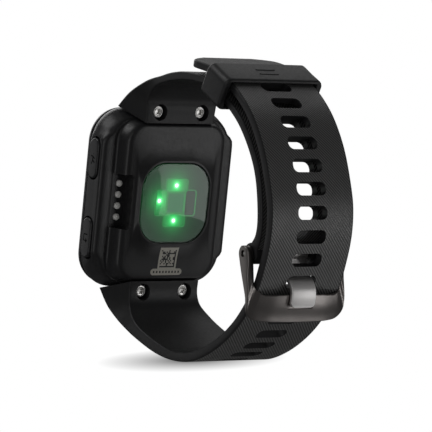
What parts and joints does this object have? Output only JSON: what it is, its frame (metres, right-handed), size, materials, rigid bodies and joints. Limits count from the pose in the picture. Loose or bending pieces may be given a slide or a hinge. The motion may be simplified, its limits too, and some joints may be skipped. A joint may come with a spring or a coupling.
{
  "type": "gps running watch",
  "caption": "Sports wristwatch with a square display, side buttons, an optical sensor on the back and a slotted strap closed through a pin buckle.",
  "frame": {"origin": "centre of the front glass's outer face", "axes": "-Y is the way the display looks, +Y points through the case to the wrist, +Z to twelve o'clock, +X to the side with the charging contacts"},
  "size_m": [0.0368, 0.0632, 0.0668],
  "materials": {
    "case_plastic": "fine-textured black, satin on the side walls",
    "bezel_plastic": "satin black",
    "front_glass": "polished, dark behind",
    "window_plastic": "polished, smoked",
    "strap_silicone": "matte black with fine diagonal ridges outside",
    "seal_rubber": "matte black",
    "buckle_metal": "satin gunmetal with a bronze cast",
    "steel": "bright satin",
    "brass": "machined",
    "board": "green solder mask",
    "panel": "reflective grey",
    "light_guide": "frosted clear",
    "battery_foil": "foil pouch",
    "ceramic_patch": "fired ceramic",
    "emitter": "clear epoxy, lit green",
    "sensor_chip": "dark glossy chip",
    "polyimide": "amber film"
  },
  "bodies": {
    "watch": {"rear_case": "case_plastic", "contact_block": "case_plastic", "front_bezel": "bezel_plastic", "front_lens": "front_glass", "sensor_window": "window_plastic", "strap_upper": "strap_silicone", "strap_lower": "strap_silicone", "case_gasket": "seal_rubber", "button_seal_run": "seal_rubber", "button_seal_back": "seal_rubber", "button_seal_light": "seal_rubber", "button_seal_page": "seal_rubber", "optical_mask": "seal_rubber", "spring_bar": "steel", "display_frame": "steel", "vibration_motor_can": "steel", "charge_contact_1": "steel", "charge_contact_2": "steel", "charge_contact_3": "steel", "charge_contact_4": "steel", "strap_screw_upper_contact_side": "steel", "strap_screw_upper_far_side": "steel", "strap_screw_lower_contact_side": "steel", "strap_screw_lower_far_side": "steel", "tactile_switch_run": "steel", "tactile_switch_back": "steel", "tactile_switch_light": "steel", "tactile_switch_page": "steel", "threaded_insert_upper_contact_side": "brass", "threaded_insert_upper_far_side": "brass", "threaded_insert_lower_contact_side": "brass", "threaded_insert_lower_far_side": "brass", "main_board": "board", "sensor_board": "board", "lcd_panel": "panel", "light_guide": "light_guide", "battery_cell": "battery_foil", "gps_antenna": "ceramic_patch", "green_led_top": "emitter", "green_led_bottom": "emitter", "green_led_side": "emitter", "photodiode": "sensor_chip", "spare_emitter": "sensor_chip", "display_flex": "polyimide"},
    "run_button": {"button_cap_run": "case_plastic"},
    "back_button": {"button_cap_back": "case_plastic"},
    "light_button": {"button_cap_light": "case_plastic"},
    "page_button": {"button_cap_page": "case_plastic"},
    "keeper": {"strap_keeper": "strap_silicone"},
    "buckle": {"buckle_frame": "buckle_metal"},
    "prong": {"buckle_prong": "buckle_metal"},
    "motor_weight": {"vibration_motor_weight": "brass"}
  },
  "joints": [
    {"name": "run_button_press", "type": "slide", "parent": "watch", "child": "run_button", "axis": [-1, 0, 0], "range_m": [0, 0.0006], "stiffness_N_per_m": 400},
    {"name": "back_button_press", "type": "slide", "parent": "watch", "child": "back_button", "axis": [-1, 0, 0], "range_m": [0, 0.0006], "stiffness_N_per_m": 400},
    {"name": "light_button_press", "type": "slide", "parent": "watch", "child": "light_button", "axis": [1, 0, 0], "range_m": [0, 0.0006], "stiffness_N_per_m": 400},
    {"name": "page_button_press", "type": "slide", "parent": "watch", "child": "page_button", "axis": [1, 0, 0], "range_m": [0, 0.0006], "stiffness_N_per_m": 400},
    {"name": "motor_weight_spin", "type": "hinge", "parent": "watch", "child": "motor_weight", "pos_m": [0.003, 0.0076, -0.0129], "axis": [1, 0, 0], "continuous": true},
    {"name": "buckle_frame_turn", "type": "hinge", "parent": "watch", "child": "buckle", "pos_m": [0, 0.057, -0.0034], "axis": [1, 0, 0], "range_deg": [-3, 0]},
    {"name": "buckle_prong_lift", "type": "hinge", "parent": "watch", "child": "prong", "pos_m": [0, 0.057, -0.0034], "axis": [1, 0, 0], "range_deg": [0, 2]},
    {"name": "keeper_slide", "type": "slide", "parent": "watch", "child": "keeper", "axis": [0, 0.9272, -0.3746], "range_m": [-0.001, 0.001]}
  ]
}
